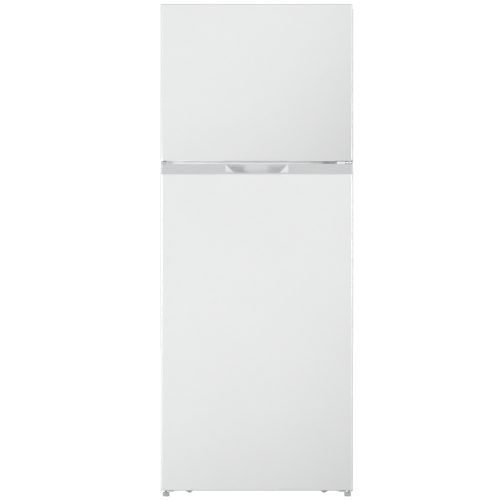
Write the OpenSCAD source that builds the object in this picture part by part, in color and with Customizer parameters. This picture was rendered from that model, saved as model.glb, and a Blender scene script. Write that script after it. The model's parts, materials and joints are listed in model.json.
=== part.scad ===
// Top freezer refrigerator. Millimetres, X to the right, Y to the back, Z up.
// The origin is on the floor, below the middle of the whole object.

/* [Overall] */
// Width over the cabinet and the doors
overall_w = 600; // [580:1:640]
// Height from the floor to the top of the freezer door
overall_h = 1538; // [1500:1:1600]
// Depth from the door fronts to the rear cover
overall_d = 655; // [640:1:680]

/* [Doors] */
// Thickness of each door without its gasket
door_t = 55; // [50:1:60]
// Height of the refrigerator door
fridge_door_h = 1016; // [1004:1:1020]
// Gap between the two doors
door_gap = 10; // [9:0.5:14]
// Height of the refrigerator door's underside above the floor
door_floor_gap = 24; // [24:1:30]
// Radius of the doors' vertical front edges
door_edge_r = 9; // [6:0.5:14]
// Height of the grey handle strip on the refrigerator door
strip_h = 32; // [28:1:40]
// Distance between a door's back and the cabinet's front
seal_gap = 12; // [11:0.5:14]
// Distance of the hinge axis from the cabinet's side
hinge_inset = 13; // [12:0.5:16]
// Distance of the hinge axis behind the door fronts
hinge_setback = 27; // [24:0.5:30]

/* [Cabinet] */
// Height of the cabinet's underside above the floor
cabinet_z0 = 22; // [22:1:26]
// Insulated side wall, liner included
side_wall = 50; // [46:1:56]
// Height of the refrigerator compartment's floor
fridge_floor = 76; // [72:1:80]
// Height of the refrigerator compartment's ceiling
fridge_ceiling = 1003; // [999:1:1007]
// Height of the freezer compartment's floor
freezer_floor = 1087; // [1083:1:1091]
// Thickness of the wall above the freezer compartment
top_wall = 60; // [54:1:64]
// Insulated back wall, liner included
back_wall = 60; // [54:1:64]
// Height of the machine compartment
machine_h = 218; // [210:1:224]
// Depth of the machine compartment
machine_d = 192; // [186:1:200]

/* [Handle pocket] */
// Width of the pocket's mouth
pocket_w = 195; // [160:1:220]
// Width of the pocket's back wall at its foot
pocket_foot_w = 140; // [110:1:160]
// Height of the pocket's lip above the strip's lower edge
pocket_lip_h = 5; // [4:0.5:12]
// Depth of the pocket
pocket_d = 34; // [28:1:38]

/* [Hidden] */

$fn = 48;
eps = 0.5;            // how far a cutting solid runs past a face
gap = 0.2;            // clearance between pieces that lie against each other
run = 0.05;           // radial clearance of a pin in its bore

// Main planes
half_w = overall_w / 2;
front_y = -overall_d / 2;
rear_y = overall_d / 2;
door_back_y = front_y + door_t;
cabinet_y0 = door_back_y + seal_gap;
cover_proud = 5.5;
cabinet_y1 = rear_y - cover_proud;
cabinet_z1 = overall_h - 14;
fridge_z0 = door_floor_gap;
fridge_z1 = fridge_z0 + fridge_door_h;
strip_z0 = fridge_z1 - strip_h;
freezer_z0 = fridge_z1 + door_gap;
freezer_z1 = overall_h;
hinge_x = half_w - hinge_inset;
hinge_y = front_y + hinge_setback;

// Sheets
shell_t = 0.8;
pan_t = 1.2;
liner_t = 2;
flange_w = 10;        // how far a liner's rim reaches over the cabinet's front
skin_t = 0.6;

// Compartments: inner surfaces of the liners
room_x = half_w - side_wall;
room_back = cabinet_y1 - back_wall;
freezer_ceiling = cabinet_z1 - top_wall;
machine_y = cabinet_y1 - machine_d;
machine_z = cabinet_z0 + machine_h;
hump_wall = 46;       // insulation between the machine compartment and the crisper
hump_y = machine_y - hump_wall;
hump_z = machine_z + hump_wall;

// Steel faces that the gaskets close on
steel_x = room_x + liner_t + flange_w;
gasket_w = 14;
gasket_mid = 14;      // gasket's distance from a door edge next to the other door
gasket_end = 20;      // gasket's distance from the top and bottom door edges
gasket_x = half_w - 14;
gasket_gap = 0.4;
waist = 3;            // how much narrower a gasket is between its foot and its magnet strip

// Door inner panels
panel_x = half_w - 11.3;
dyke_x = 236;
dyke_w = 28;
dyke_y = front_y + 132.5;
dyke_r = 22;
fridge_dyke_z = [92, 940];
freezer_dyke_z = [1107, 1448];
bin_x = 200;
bin_y0 = door_back_y + 4;
bin_y1 = front_y + 147.5;
bin_ear_z = 40;
bin_t = 2.2;
fridge_bins = [[122, 112], [430, 96], [700, 92]];
freezer_bins = [[1137, 84], [1299, 84]];

// Shelves and crisper
shelf_front = -162;
shelf_back = 236;
shelf_levels = [520, 760];
trim_h = 14;
glass_t = 4;
ledge_w = 9;
crisper_x = 230;
crisper_y0 = -166;
crisper_y1 = hump_y - 6;
crisper_z0 = fridge_floor + 4;
crisper_z1 = 276;
crisper_cover_z = hump_z + 2;
crisper_cover_h = 13;
pane_x = 234;         // half width of the crisper cover's pane
pane_y = [-143, hump_y - 12];
pane_z = 7;           // the pane's height above the frame's underside
pane_rim = 8;         // width of the frame under the pane's edge
freezer_shelf_z = 1267;

// Hinges, feet and rollers
plate_t = 3;
pin_r = 4;
arm_r = 10;
bracket_x0 = 199;     // inner end of the right foot's bracket
left_bracket_x0 = 189;
bracket_y = [-258, -190];
tab_t = 3;            // thickness of the tabs folded down along a bracket's front edge
tab_h = 6.5;          // height of the inner, pointed tab
low_tab_h = 3;        // height of the outer tab
tab_x = [200, 224];
low_tab_x = [256, 282];
mid_bracket_x0 = 205;
mid_bracket_h = 34;
mid_plate_t = 4;
mid_z = fridge_z1 + door_gap / 2;
foot_x = 285;
foot_y = -240;
foot_r = 11;
foot_h = 13;
stud_r = 4;
stud_top = 48;
roller_x = 240;
roller_y = 285;
roller_r = 10;
roller_w = 18;
axle_r = 3;
ear_x = roller_w / 2 + 2;

// Cold air
fan_z = 1388;
fan_r = 46;
cover_y = 182;

white = [0.93, 0.93, 0.93];
light_grey = [0.80, 0.80, 0.80];
plastic_white = [0.95, 0.95, 0.95];
clear_plastic = [0.85, 0.92, 0.95];
glass_green = [0.75, 0.88, 0.85];
foam_yellow = [0.95, 0.90, 0.70];
black = [0.11, 0.11, 0.11];
steel = [0.72, 0.72, 0.74];
dark_grey = [0.25, 0.25, 0.26];

// ---------- shared shapes ----------

// A box between two corners
module box(a, b) {
  translate(a) cube(b - a);
}

// A flat rounded rectangle centred on the origin
module rounded(w, h, r) {
  square([w - 2 * r, h], center = true);
  square([w, h - 2 * r], center = true);
  for (x = [-1, 1], y = [-1, 1]) translate([x * (w / 2 - r), y * (h / 2 - r)]) circle(r);
}

// A rounded rectangle upright in the XZ plane, from y0 to y1
module upright(x, z0, z1, r, y0, y1) {
  translate([0, y1, (z0 + z1) / 2]) rotate([90, 0, 0]) linear_extrude(y1 - y0) rounded(2 * x, z1 - z0, r);
}

// Plan of a door, drawn smaller by inset, with its two front edges rounded
module door_plan(inset, back) {
  r = door_edge_r - inset;
  x = half_w - inset;
  y = front_y + inset;
  translate([-x, y + r]) square([2 * x, back - y - r]);
  translate([-x + r, y]) square([2 * (x - r), r + 1]);
  for (s = [-1, 1]) translate([s * (x - r), y + r]) circle(r);
}

// A tray: a box with an open top
module tray(a, b, t) {
  difference() {
    box(a, b);
    box(a + [t, t, t], [b[0] - t, b[1] - t, b[2] + eps]);
  }
}

// A screw that points along -Z, its head's underside on the origin, grown all round by extra
module screw(length, extra) {
  cylinder(r = 4.6 + extra, h = 2.4 + extra);
  translate([0, 0, -length]) cylinder(r = 2.2 + extra, h = length + 0.1);
}

// All screws of the cabinet, grown by extra where they are cut out of what they hold
module screw_set(extra) {
  for (x = [224, 252], y = [-236, -206]) translate([x, y, cabinet_z1 + plate_t]) screw(14, extra);
  for (x = [220, 252], z = [-10, 10])
    translate([x, cabinet_y0 - plate_t, mid_z + z]) rotate([90, 0, 0]) screw(14, extra);
  for (s = [-1, 1], x = [212, 250], y = [-236, -205])
    translate([s * x, y, cabinet_z0 - plate_t]) mirror([0, 0, 1]) screw(14, extra);
  for (x = [-280, 280], z = [44, machine_z - 10])
    translate([x, cabinet_y1 + 2, z]) rotate([-90, 0, 0]) screw(12, extra);
}

// ---------- cabinet ----------

module cabinet_shell() color(white) difference() {
  box([-half_w, cabinet_y0, cabinet_z0], [half_w, cabinet_y1, cabinet_z1]);
  box([-half_w + shell_t, cabinet_y0 + shell_t, cabinet_z0 - eps],
    [half_w - shell_t, cabinet_y1 + eps, cabinet_z1 - shell_t]);
  box([-steel_x, cabinet_y0 - eps, cabinet_z0 - eps],
    [steel_x, cabinet_y0 + 2 * shell_t, freezer_ceiling + liner_t + flange_w]);
  screw_set(0.1);
}

module back_panel() color(light_grey) {
  difference() {
    box([-half_w + 1, cabinet_y1 - 0.6, machine_z], [half_w - 1, cabinet_y1, cabinet_z1 - 1]);
    for (z = [machine_z + 60, cabinet_z1 - 60])
      box([-40, cabinet_y1 - 0.3, z - 2], [40, cabinet_y1 + eps, z + 2]);
  }
}

module base_pan() color(steel) difference() {
  union() {
    box([-half_w + 1, cabinet_y0 + 1, cabinet_z0], [half_w - 1, cabinet_y1 - 1, cabinet_z0 + pan_t]);
    box([-steel_x + gap, cabinet_y0, cabinet_z0],
      [steel_x - gap, cabinet_y0 + pan_t, fridge_floor - liner_t - flange_w - gap]);
    box([-half_w + 1, machine_y, cabinet_z0], [half_w - 1, machine_y + pan_t, machine_z]);
    box([-half_w + 1, machine_y, machine_z - pan_t], [half_w - 1, cabinet_y1 - 1, machine_z]);
    for (s = [-1, 1]) translate([s * (half_w - 1 - pan_t / 2), 0, 0])
      box([-pan_t / 2, machine_y, cabinet_z0], [pan_t / 2, cabinet_y1 - 1, machine_z]);
    for (s = [-1, 1]) translate([s * (half_w - 14), 0, 0])
      box([-13, cabinet_y1 - 1 - pan_t, cabinet_z0], [13, cabinet_y1 - 1, machine_z]);
  }
  for (s = [-1, 1]) translate([s * foot_x, foot_y, cabinet_z0 - 1])
    cylinder(r = stud_r + 2, h = pan_t + 2);
  screw_set(0.1);
}

module mullion_rail() color(white) difference() {
  box([-steel_x + gap, cabinet_y0, fridge_ceiling + liner_t + flange_w - 4 + gap],
    [steel_x - gap, cabinet_y0 + pan_t, freezer_floor - liner_t - flange_w + 4 - gap]);
  screw_set(0.1);
}

// Insulation between the shell and the liners
module cabinet_foam() color(foam_yellow) difference() {
  box([-half_w + 1, cabinet_y0 + liner_t + gap, cabinet_z0 + pan_t + gap],
    [half_w - 1, cabinet_y1 - 0.8, cabinet_z1 - 1]);
  box([-half_w, machine_y - gap, cabinet_z0], [half_w, cabinet_y1, machine_z + gap]);
  box([-room_x - liner_t - gap, cabinet_y0 - eps, freezer_floor - liner_t - gap],
    [room_x + liner_t + gap, room_back + liner_t + gap, freezer_ceiling + liner_t + gap]);
  box([-room_x - liner_t - gap, cabinet_y0 - eps, fridge_floor - liner_t - gap],
    [room_x + liner_t + gap, hump_y + liner_t + gap, fridge_ceiling + liner_t + gap]);
  box([-room_x - liner_t - gap, 0, hump_z - liner_t - gap],
    [room_x + liner_t + gap, room_back + liner_t + gap, fridge_ceiling + liner_t + gap]);
  for (s = [-1, 1]) translate([s * foot_x, foot_y, cabinet_z0]) cylinder(r = stud_r + 4, h = 40);
  screw_set(0.3);
}

// A ledge along both side walls that carries a shelf
module ledges(top, y0, y1) {
  for (s = [-1, 1]) translate([s * (room_x - ledge_w / 2), 0, 0])
    box([-ledge_w / 2, y0, top - 8], [ledge_w / 2 + 0.1, y1, top]);
}

module freezer_liner() color(plastic_white) {
  difference() {
    union() {
      upright(room_x + liner_t, freezer_floor - liner_t, freezer_ceiling + liner_t, 14,
        cabinet_y0, room_back + liner_t);
      upright(room_x + liner_t + flange_w - gap, freezer_floor - liner_t - flange_w + 4,
        freezer_ceiling + liner_t + flange_w - gap, 1, cabinet_y0, cabinet_y0 + liner_t);
    }
    upright(room_x, freezer_floor, freezer_ceiling, 12, cabinet_y0 - eps, room_back);
  }
  ledges(freezer_shelf_z - 3.2, -150, 175);
}

module fridge_liner() color(plastic_white) {
  difference() {
    union() {
      box([-room_x - liner_t, cabinet_y0, fridge_floor - liner_t],
        [room_x + liner_t, hump_y + liner_t, hump_z + 20]);
      box([-room_x - liner_t, cabinet_y0, hump_z - liner_t],
        [room_x + liner_t, room_back + liner_t, fridge_ceiling + liner_t]);
      upright(room_x + liner_t + flange_w - gap, fridge_floor - liner_t - flange_w + gap,
        fridge_ceiling + liner_t + flange_w - 4, 1, cabinet_y0, cabinet_y0 + liner_t);
    }
    upright(room_x, hump_z, fridge_ceiling, 12, cabinet_y0 - eps, room_back);
    upright(room_x, fridge_floor, hump_z + 40, 12, cabinet_y0 - eps, hump_y);
  }
  for (z = shelf_levels) ledges(z + 2.8, -146, 222);
  ledges(crisper_cover_z - gap, -150, hump_y - 4);
  for (s = [-1, 1]) translate([s * (crisper_x - 14), 0, 0])
    box([-5, crisper_y0 + 10, fridge_floor - 0.1], [5, crisper_y1 - 6, crisper_z0 - gap]);
}

// ---------- cold air ----------

module evaporator_cover() color(plastic_white) difference() {
  union() {
    upright(room_x - 2, freezer_floor + 2, freezer_ceiling - 2, 10, cover_y, cover_y + 3);
    translate([0, cover_y + 30, fan_z]) rotate([90, 0, 0]) cylinder(r = fan_r + 8, h = 33);
    box([-110, cover_y - 5, fan_z - 62], [110, cover_y + 0.1, fan_z + 62]);
  }
  translate([0, cover_y + 31, fan_z]) rotate([90, 0, 0]) cylinder(r = fan_r + 5, h = 33);
  difference() {
    box([-107, cover_y - 2, fan_z - 59], [107, cover_y + 3 + eps, fan_z + 59]);
    translate([0, cover_y + 4, fan_z]) rotate([90, 0, 0]) cylinder(r = fan_r + 8, h = 7);
  }
  for (x = [-90 : 12 : 90]) box([x - 3, cover_y - 6, fan_z - 44], [x + 3, cover_y + 1, fan_z + 44]);
  for (x = [-200 : 25 : 200]) box([x - 8, cover_y - eps, freezer_floor + 12],
    [x + 8, cover_y + 3 + eps, freezer_floor + 18]);
}

evap_x = 188;
evap_rows = 5;
evap_pitch = 36;
evap_z0 = 1131;
evap_ys = [216, 244];
fin_t = 0.8;

// A tube along X with radius r
module tube_x(x0, x1, y, z, r) {
  translate([x0, y, z]) rotate([0, 90, 0]) cylinder(r = r, h = x1 - x0);
}

// A half ring that joins two tubes one above the other; side is 1 on the right and -1 on the left
module bend_x(x, y, z, pitch, r, side) {
  translate([x, y, z + pitch / 2]) rotate([90, 0, 0]) rotate([0, 0, side > 0 ? -90 : 90])
    rotate_extrude(angle = 180) translate([pitch / 2, 0]) circle(r, $fn = 24);
}

// A tube that runs to and fro between x[0] and x[1], row above row, in the plane at y
module serpentine(x, y, z0, rows, pitch, r) {
  for (i = [0 : rows - 1]) tube_x(x[0], x[1], y, z0 + i * pitch, r);
  for (i = [0 : rows - 2]) {
    right = i % 2 == 0;
    bend_x(right ? x[1] : x[0], y, z0 + i * pitch, pitch, r, right ? 1 : -1);
  }
}

module evaporator() color(steel) {
  fin_z = [evap_z0 - 14, evap_z0 + (evap_rows - 1) * evap_pitch + 14];
  for (y = evap_ys) serpentine([-evap_x, evap_x], y, evap_z0, evap_rows, evap_pitch, 4);
  for (x = [-176 : 16 : 176])
    box([x - fin_t / 2, evap_ys[0] - 13, fin_z[0]], [x + fin_t / 2, evap_ys[1] + 13, fin_z[1]]);
}

heater_x = 170;
heater_y = 230;
heater_z = evap_z0 - 28;

module defrost_heater() color(light_grey) {
  tube_x(-heater_x, heater_x, heater_y, heater_z, 5);
  for (x = [-heater_x, heater_x - 12]) tube_x(x, x + 12, heater_y, heater_z, 8);
}

module fan_motor() color(dark_grey) {
  translate([0, room_back - 6, fan_z]) rotate([90, 0, 0]) cylinder(r = 24, h = 34);
  translate([0, room_back - 40, fan_z]) rotate([90, 0, 0]) cylinder(r = 2, h = 26);
  box([-62, room_back - 6.1, fan_z - 10], [62, room_back - gap, fan_z + 10]);
}

fan_y = room_back - 44;

module fan_blade() color(light_grey) translate([0, fan_y, fan_z]) rotate([90, 0, 0]) difference() {
  union() {
    cylinder(r = 14, h = 20);
    intersection() {
      difference() {
        cylinder(r = fan_r, h = 20);
        translate([0, 0, -eps]) cylinder(r = 13, h = 21);
      }
      for (i = [0 : 4]) rotate([0, 0, 72 * i]) translate([0, 0, 10]) rotate([32, 0, 0])
        box([10, -15, -0.8], [fan_r + 2, 15, 0.8]);
    }
  }
  translate([0, 0, -eps]) cylinder(r = 2 + run, h = 22);
}

// Air channel up the back of the refrigerator compartment
module air_duct() color(plastic_white) difference() {
  upright(72, hump_z + 12, fridge_ceiling - 1, 10, room_back - 22, room_back - gap);
  box([-68, room_back - 19, hump_z + 16], [68, room_back + eps, fridge_ceiling - 5]);
  for (z = [hump_z + 70 : 150 : fridge_ceiling - 60], x = [-45, 45])
    box([x - 16, room_back - 23, z - 4], [x + 16, room_back - 18, z + 4]);
}

// ---------- controls and light ----------

control_x = 130;
control_y0 = -240;
control_y1 = -110;
control_z0 = 958;
knob_x = -60;
knob_r = 17;
knob_z = 979;
lens_x = [10, 110];

module control_box() color(plastic_white) difference() {
  box([-control_x, control_y0, control_z0], [control_x, control_y1, fridge_ceiling - gap]);
  box([-control_x + 2.5, control_y0 + 2.5, control_z0 + 2.5],
    [control_x - 2.5, control_y1 - 2.5, fridge_ceiling + eps]);
  translate([knob_x, control_y0 - eps, knob_z]) rotate([-90, 0, 0]) cylinder(r = 4 + run, h = 5);
  box([lens_x[0], control_y0 + 20, control_z0 - eps], [lens_x[1], control_y1 - 20, control_z0 + 3]);
}

module control_knob() color(light_grey) translate([knob_x, control_y0, knob_z]) rotate([90, 0, 0]) {
  difference() {
    translate([0, 0, 0.5]) cylinder(r = knob_r, h = 11);
    for (s = [-1, 1]) translate([s * 12, 0, 6]) box([-6, -knob_r, 0], [6, knob_r, 7]);
  }
  translate([0, 0, -10]) cylinder(r = 4, h = 11);
}

module lamp_lens() color(clear_plastic)
  box([lens_x[0] + gap, control_y0 + 20 + gap, control_z0 - 2],
    [lens_x[1] - gap, control_y1 - 20 - gap, control_z0 + 2.4]);

// ---------- shelves and crisper ----------

module freezer_shelf() color(white) {
  for (y = [-148, -60, 40, 140, 168]) tube_x(-room_x + 4, room_x - 4, y, freezer_shelf_z, 3);
  for (i = [-9 : 9]) translate([i * 27, -158, freezer_shelf_z + 4]) rotate([-90, 0, 0])
    cylinder(r = 1.6, h = 333);
}

// The pane of the shelf at height z, grown by extra where it is cut out of its trims
module shelf_pane(z, extra) {
  box([-room_x + 4 - extra, shelf_front + 7 - extra, z + 3 - extra],
    [room_x - 4 + extra, shelf_back - 4 + extra, z + 3 + glass_t + extra]);
}

module shelf_glasses() color(glass_green) for (z = shelf_levels) shelf_pane(z, 0);

module shelf_trims() color(plastic_white) for (z = shelf_levels) difference() {
  union() {
    box([-room_x + 2, shelf_front, z], [room_x - 2, shelf_front + 14, z + trim_h]);
    box([-room_x + 2, shelf_back - 12, z], [room_x - 2, shelf_back, z + trim_h]);
  }
  shelf_pane(z, gap);
}

slider_y = -162;
slider_z = crisper_cover_z + 5;
slider_travel = 60;

module crisper_cover_glass() color(glass_green) translate([0, 0, crisper_cover_z + pane_z])
  box([-pane_x, pane_y[0], 0], [pane_x, pane_y[1], glass_t]);

module crisper_cover_frame() color(plastic_white) difference() {
  cover_top = crisper_cover_z + crisper_cover_h;
  slot_x = slider_travel / 2 + 27;
  box([-room_x + 2, slider_y, crisper_cover_z], [room_x - 2, hump_y - 2, cover_top]);
  box([-pane_x + pane_rim, pane_y[0] + pane_rim, crisper_cover_z - eps],
    [pane_x - pane_rim, pane_y[1] - pane_rim, cover_top + 1]);
  box([-pane_x - gap, pane_y[0] - gap, crisper_cover_z + pane_z - gap],
    [pane_x + gap, pane_y[1] + gap, cover_top + 1]);
  box([-slot_x, slider_y - eps, slider_z - 3], [slot_x, slider_y + 4, slider_z + 3]);
}

// The slider stands at the left end of its travel: a plate in the slot and a grip in front of it
module humidity_slider() color(light_grey) translate([-slider_travel / 2, slider_y, slider_z]) {
  box([-14, 0.3, -2.6], [14, 3.6, 2.6]);
  box([-4, -4, -2.2], [4, 0.4, 2.2]);
}

module crisper_drawer() color(clear_plastic) difference() {
  union() {
    box([-crisper_x, crisper_y0, crisper_z0], [crisper_x, crisper_y1, crisper_z1]);
    box([-crisper_x, crisper_y0 - 7, crisper_z1 - 16], [crisper_x, crisper_y0 + 1, crisper_z1]);
  }
  box([-crisper_x + 2.5, crisper_y0 + 2.5, crisper_z0 + 2.5],
    [crisper_x - 2.5, crisper_y1 - 2.5, crisper_z1 + eps]);
  box([-crisper_x + 3, crisper_y0 - 5, crisper_z1 - 17],
    [crisper_x - 3, crisper_y0 - 0.01, crisper_z1 - 3]);
}

// ---------- doors: parts that both share ----------

// Steel front with folded side edges and narrow folds along the back
module door_skin(z0, z1) {
  difference() {
    translate([0, 0, z0]) linear_extrude(z1 - z0) door_plan(0, door_back_y);
    translate([0, 0, z0 - eps]) linear_extrude(z1 - z0 + 2 * eps) door_plan(skin_t, door_back_y - skin_t);
    box([-panel_x - gap, door_back_y - 2, z0 - eps], [panel_x + gap, door_back_y + eps, z1 + eps]);
  }
}

// Ring of the inner panel that holds the bins, from y0 to y1, drawn smaller by inset
module dyke_ring(dyke_z, inset, y0, y1) {
  difference() {
    upright(dyke_x - inset, dyke_z[0] + inset, dyke_z[1] - inset, dyke_r - inset, y0, y1);
    upright(dyke_x - dyke_w + inset, dyke_z[0] + dyke_w - inset, dyke_z[1] - dyke_w + inset,
      dyke_r - 8 + inset, y0 - eps, y1 + eps);
  }
}

// Bosses on the dykes under the ears of one bin
module bin_bosses(z) {
  for (s = [-1, 1]) translate([s * (dyke_x - dyke_w - 3.4), 0, 0])
    box([-3.6, bin_y0 + 8, z + bin_ear_z - 12], [3.6, bin_y0 + 60, z + bin_ear_z - gap]);
}

module door_liner(z0, z1, dyke_z, bins) {
  upright(panel_x, z0, z1, 4, door_back_y - liner_t, door_back_y);
  difference() {
    dyke_ring(dyke_z, 0, door_back_y - 1, dyke_y);
    dyke_ring(dyke_z, liner_t, door_back_y - 2, dyke_y - liner_t);
  }
  for (b = bins) bin_bosses(b[0]);
}

module door_foam(z0, z1) {
  translate([0, 0, z0]) linear_extrude(z1 - z0) door_plan(skin_t + gap, door_back_y - liner_t - gap);
}

// A flat ring w wide around a compartment's mouth, its outer edge at x, z0 and z1
module mouth_ring(x, z0, z1, w, r, y0, y1) {
  difference() {
    upright(x, z0, z1, r, y0, y1);
    upright(x - w, z0 + w, z1 - w, 2, y0 - eps, y1 + eps);
  }
}

// Gasket: its foot on the door, a narrow waist and the magnet strip that closes on the steel
module gasket_ring(z0, z1) {
  y1 = cabinet_y0 - gasket_gap;
  mouth_ring(gasket_x, z0, z1, gasket_w, 6, door_back_y, door_back_y + 4);
  mouth_ring(gasket_x - waist, z0 + waist, z1 - waist, gasket_w - 2 * waist, 4, door_back_y, y1);
  mouth_ring(gasket_x, z0, z1, gasket_w, 6, y1 - 4.6, y1);
}

// A bin with two ears that rest on the dykes' bosses
module door_bin(z, h) {
  tray([-bin_x, bin_y0, z], [bin_x, bin_y1, z + h], bin_t);
  for (s = [-1, 1]) translate([s * (bin_x + 2.9), 0, 0])
    box([-3, bin_y0 + 8, z + bin_ear_z], [3, bin_y0 + 60, z + h - 6]);
}

// Bore for a hinge pin
module pin_bore(side, z0, z1) {
  translate([side * hinge_x, hinge_y, z0]) cylinder(r = pin_r + run, h = z1 - z0);
}

// A door cap: a rim that shows at the door's edge and a wall inside the skin
module door_cap(rim_z0, rim_z1, wall_z0, wall_z1) {
  translate([0, 0, rim_z0]) linear_extrude(rim_z1 - rim_z0) door_plan(0, door_back_y);
  translate([0, 0, wall_z0]) linear_extrude(wall_z1 - wall_z0) difference() {
    door_plan(skin_t + gap, door_back_y - liner_t - gap);
    door_plan(skin_t + gap + 2, door_back_y - liner_t - gap - 2);
  }
}

module hole_plug(z, up) {
  translate([-hinge_x, hinge_y, z]) mirror([0, 0, up ? 0 : 1]) {
    cylinder(r = 6, h = 1.6);
    translate([0, 0, -12]) cylinder(r = pin_r - 0.1, h = 12.1);
  }
}

// ---------- freezer door ----------

cap_rim = 2.5;
cap_wall = 14;
recess_x = 255;
recess_d = 16;
recess_t = 2.5;       // walls around the recess
recess_z = freezer_z1 - recess_d;
lip_t = 3;
grip_x = 100;
grip_y0 = front_y + 10;
grip_y1 = front_y + 42;
grip_h = 20;

// Space around the top hinge's arm, open to the back and to the side
module hinge_recess(z0) {
  box([recess_x, front_y + lip_t, z0], [half_w + 1, door_back_y + 1, freezer_z1 + 1]);
}

module freezer_door_skin() color(white) difference() {
  door_skin(freezer_z0 + cap_rim, freezer_z1 - cap_rim);
  hinge_recess(recess_z);
}

module freezer_door_foam() color(foam_yellow) {
  door_foam(freezer_z0 + 24, freezer_z1 - 42);
  dyke_ring(freezer_dyke_z, liner_t + gap, door_back_y - liner_t - 1, dyke_y - liner_t - gap);
}

module freezer_door_liner() color(plastic_white) difference() {
  door_liner(freezer_z0 + 6, recess_z - 3, freezer_dyke_z, freezer_bins);
  dyke_ring(freezer_dyke_z, liner_t, door_back_y - liner_t - eps, dyke_y - liner_t);
}

module freezer_door_top_cap() color(light_grey) {
  difference() {
    union() {
      door_cap(freezer_z1 - cap_rim, freezer_z1, freezer_z1 - cap_wall, freezer_z1 - cap_rim + 0.1);
      intersection() {
        translate([0, 0, recess_z - recess_t]) linear_extrude(recess_t + recess_d)
          door_plan(skin_t + gap, door_back_y - skin_t - gap);
        box([recess_x - recess_t, front_y, recess_z - recess_t], [half_w, door_back_y, freezer_z1 - 1]);
      }
      translate([hinge_x, hinge_y, recess_z - 22]) cylinder(r = 9, h = 20);
    }
    hinge_recess(recess_z);
    pin_bore(1, recess_z - 20, recess_z + 1);
  }
}

module freezer_door_bottom_cap() color(plastic_white) {
  difference() {
    union() {
      door_cap(freezer_z0, freezer_z0 + cap_rim, freezer_z0 + cap_rim - 0.1, freezer_z0 + cap_wall);
      for (s = [-1, 1]) translate([s * hinge_x, hinge_y, freezer_z0]) cylinder(r = 9, h = 21);
      box([-grip_x - 2, grip_y0 - 2, freezer_z0], [grip_x + 2, grip_y1 + 2, freezer_z0 + grip_h + 2]);
    }
    box([-grip_x, grip_y0, freezer_z0 - eps], [grip_x, grip_y1, freezer_z0 + grip_h]);
    for (s = [-1, 1]) pin_bore(s, freezer_z0 - eps, freezer_z0 + 19);
  }
}

module freezer_door_gasket() color(light_grey)
  gasket_ring(freezer_z0 + gasket_mid, freezer_z1 - gasket_end);

module freezer_bin_lower() color(clear_plastic) door_bin(freezer_bins[0][0], freezer_bins[0][1]);

module freezer_bin_upper() color(clear_plastic) door_bin(freezer_bins[1][0], freezer_bins[1][1]);

module freezer_door_plug() color(dark_grey) hole_plug(freezer_z0, false);

// ---------- refrigerator door ----------

module fridge_door_skin() color(white) door_skin(fridge_z0 + cap_rim, strip_z0);

module fridge_door_foam() color(foam_yellow) {
  door_foam(fridge_z0 + 24, strip_z0 - gap);
  dyke_ring(fridge_dyke_z, liner_t + gap, door_back_y - liner_t - 1, dyke_y - liner_t - gap);
}

module fridge_door_liner() color(plastic_white) difference() {
  door_liner(fridge_z0 + 6, fridge_z1 - 7, fridge_dyke_z, fridge_bins);
  dyke_ring(fridge_dyke_z, liner_t, door_back_y - liner_t - eps, dyke_y - liner_t);
}

// The pocket: its ends slope in towards the foot of its back wall, and its floor drops behind the lip
module handle_pocket() {
  lip_z = strip_z0 + pocket_lip_h;
  mouth_x = pocket_w / 2;
  foot_end = pocket_foot_w / 2;
  back = front_y + pocket_d;
  hull() {
    box([-mouth_x, front_y - 1, lip_z], [mouth_x, front_y, fridge_z1 + 1]);
    box([-mouth_x, back - 0.01, fridge_z1], [mouth_x, back, fridge_z1 + 1]);
    box([-foot_end, back - 0.01, lip_z], [foot_end, back, lip_z + 1]);
  }
  box([-foot_end + 2, front_y + 8, strip_z0 + 2], [foot_end - 2, back, lip_z + 1]);
}

module fridge_door_top_cap() color(light_grey) difference() {
  translate([0, 0, strip_z0]) linear_extrude(strip_h) door_plan(0, door_back_y);
  handle_pocket();
  box([-panel_x - gap, door_back_y - liner_t - gap, strip_z0 - eps],
    [panel_x + gap, door_back_y + eps, fridge_z1 - 6]);
  for (s = [-1, 1]) pin_bore(s, fridge_z1 - 19, fridge_z1 + 1);
}

module fridge_door_bottom_cap() color(light_grey) difference() {
  union() {
    door_cap(fridge_z0, fridge_z0 + cap_rim, fridge_z0 + cap_rim - 0.1, fridge_z0 + cap_wall);
    for (s = [-1, 1]) translate([s * hinge_x, hinge_y, fridge_z0]) cylinder(r = 9, h = 21);
  }
  for (s = [-1, 1]) pin_bore(s, fridge_z0 - 1, fridge_z0 + 19);
}

module fridge_door_gasket() color(light_grey)
  gasket_ring(fridge_z0 + gasket_end, fridge_z1 - gasket_mid);

module door_bin_bottle() color(clear_plastic) door_bin(fridge_bins[0][0], fridge_bins[0][1]);

module door_bin_middle() color(clear_plastic) door_bin(fridge_bins[1][0], fridge_bins[1][1]);

module door_bin_upper() color(clear_plastic) door_bin(fridge_bins[2][0], fridge_bins[2][1]);

module fridge_door_plug() color(dark_grey) hole_plug(fridge_z1, true);

// ---------- hinges ----------

// Plan of a hinge plate: a foot on the cabinet from x0 to x1 and an arm to the hinge axis
module hinge_plan(x0, foot_y0, foot_y1) {
  translate([x0, foot_y0]) square([hinge_x + arm_r - x0, foot_y1 - foot_y0]);
  translate([hinge_x - arm_r, hinge_y]) square([2 * arm_r, foot_y0 - hinge_y + 1]);
  translate([hinge_x, hinge_y]) circle(arm_r);
}

module top_hinge() color(steel) difference() {
  union() {
    translate([0, 0, cabinet_z1]) linear_extrude(plate_t) hinge_plan(214, cabinet_y0 + 6, -194);
    translate([hinge_x, hinge_y, recess_z - 18]) cylinder(r = pin_r, h = 21.5);
  }
  screw_set(0.1);
}

hinge_cover_h = 13;
hinge_cover_t = 2;

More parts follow.
